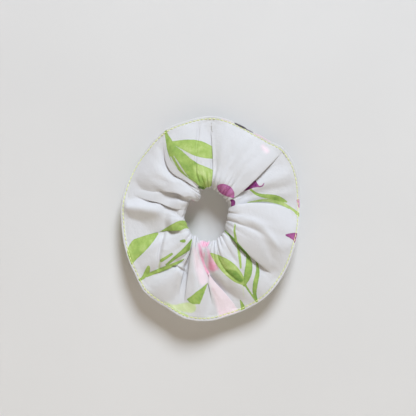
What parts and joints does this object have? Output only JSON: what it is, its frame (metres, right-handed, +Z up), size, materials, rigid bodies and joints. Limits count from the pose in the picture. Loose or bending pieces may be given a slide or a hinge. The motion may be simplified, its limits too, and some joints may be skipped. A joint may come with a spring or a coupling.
{
  "type": "scrunchie",
  "caption": "Gathered ring of printed cotton on a loop of flat elastic, with a topstitched outer edge; the ring stretches open to go round hair.",
  "frame": {"origin": "the point where the peg that the scrunchie hangs on bears on the top of its hole, half way through the ring's depth", "axes": "+Z up as it hangs, +X to the right seen from the front, +Y along the ring's axis towards the wall behind"},
  "size_m": [0.125, 0.0195, 0.142],
  "materials": {
    "printed_cotton": "matt plain-weave cotton, white with a watercolour flower print",
    "elastic_band": "braided flat elastic, white",
    "edge_thread": "polyester sewing thread, lime yellow",
    "plain_thread": "polyester sewing thread, white"
  },
  "bodies": {
    "top_start": {"fabric_tube_top_start": "printed_cotton", "elastic_top_start": "elastic_band", "edge_thread_front_top_start": "edge_thread", "edge_thread_back_top_start": "edge_thread", "elastic_lap": "elastic_band", "elastic_lap_stitches": "plain_thread", "join_seam_thread": "plain_thread"},
    "upper_right": {"fabric_tube_upper_right": "printed_cotton", "elastic_upper_right": "elastic_band", "edge_thread_front_upper_right": "edge_thread", "edge_thread_back_upper_right": "edge_thread"},
    "right": {"fabric_tube_right": "printed_cotton", "elastic_right": "elastic_band", "edge_thread_front_right": "edge_thread", "edge_thread_back_right": "edge_thread"},
    "lower_right": {"fabric_tube_lower_right": "printed_cotton", "elastic_lower_right": "elastic_band", "edge_thread_front_lower_right": "edge_thread", "edge_thread_back_lower_right": "edge_thread"},
    "bottom": {"fabric_tube_bottom": "printed_cotton", "elastic_bottom": "elastic_band", "edge_thread_front_bottom": "edge_thread", "edge_thread_back_bottom": "edge_thread"},
    "lower_left": {"fabric_tube_lower_left": "printed_cotton", "elastic_lower_left": "elastic_band", "edge_thread_front_lower_left": "edge_thread", "edge_thread_back_lower_left": "edge_thread"},
    "left": {"fabric_tube_left": "printed_cotton", "elastic_left": "elastic_band", "edge_thread_front_left": "edge_thread", "edge_thread_back_left": "edge_thread"},
    "upper_left": {"fabric_tube_upper_left": "printed_cotton", "elastic_upper_left": "elastic_band", "edge_thread_front_upper_left": "edge_thread", "edge_thread_back_upper_left": "edge_thread"},
    "top_end": {"fabric_tube_top_end": "printed_cotton", "elastic_top_end": "elastic_band", "edge_thread_front_top_end": "edge_thread", "edge_thread_back_top_end": "edge_thread"}
  },
  "joints": [
    {"name": "stretch", "type": "slide", "parent": "top_start", "child": "upper_right", "axis": [0.8764, 0, -0.4815], "range_m": [0, 0.01147], "stiffness_N_per_m": 200},
    {"name": "stretch_right", "type": "slide", "parent": "upper_right", "child": "right", "axis": [0.2981, 0, -0.9545], "range_m": [0, 0.01399], "stiffness_N_per_m": 200},
    {"name": "stretch_lower_right", "type": "slide", "parent": "right", "child": "lower_right", "axis": [-0.2981, 0, -0.9545], "range_m": [0, 0.01399], "stiffness_N_per_m": 200},
    {"name": "stretch_bottom", "type": "slide", "parent": "lower_right", "child": "bottom", "axis": [-0.8764, 0, -0.4815], "range_m": [0, 0.01149], "stiffness_N_per_m": 200},
    {"name": "stretch_lower_left", "type": "slide", "parent": "bottom", "child": "lower_left", "axis": [-0.8764, 0, 0.4815], "range_m": [0, 0.01149], "stiffness_N_per_m": 200},
    {"name": "stretch_left", "type": "slide", "parent": "lower_left", "child": "left", "axis": [-0.2981, 0, 0.9545], "range_m": [0, 0.01399], "stiffness_N_per_m": 200},
    {"name": "stretch_upper_left", "type": "slide", "parent": "left", "child": "upper_left", "axis": [0.2981, 0, 0.9545], "range_m": [0, 0.01399], "stiffness_N_per_m": 200},
    {"name": "stretch_top_end", "type": "slide", "parent": "upper_left", "child": "top_end", "axis": [0.8764, 0, 0.4815], "range_m": [0, 0.01149], "stiffness_N_per_m": 200}
  ],
  "couplings": [
    {"joint": "stretch_right", "follows": "stretch", "ratio": 1.2179},
    {"joint": "stretch_lower_right", "follows": "stretch", "ratio": 1.2179},
    {"joint": "stretch_bottom", "follows": "stretch", "ratio": 1},
    {"joint": "stretch_lower_left", "follows": "stretch", "ratio": 1},
    {"joint": "stretch_left", "follows": "stretch", "ratio": 1.2179},
    {"joint": "stretch_upper_left", "follows": "stretch", "ratio": 1.2179},
    {"joint": "stretch_top_end", "follows": "stretch", "ratio": 1}
  ]
}
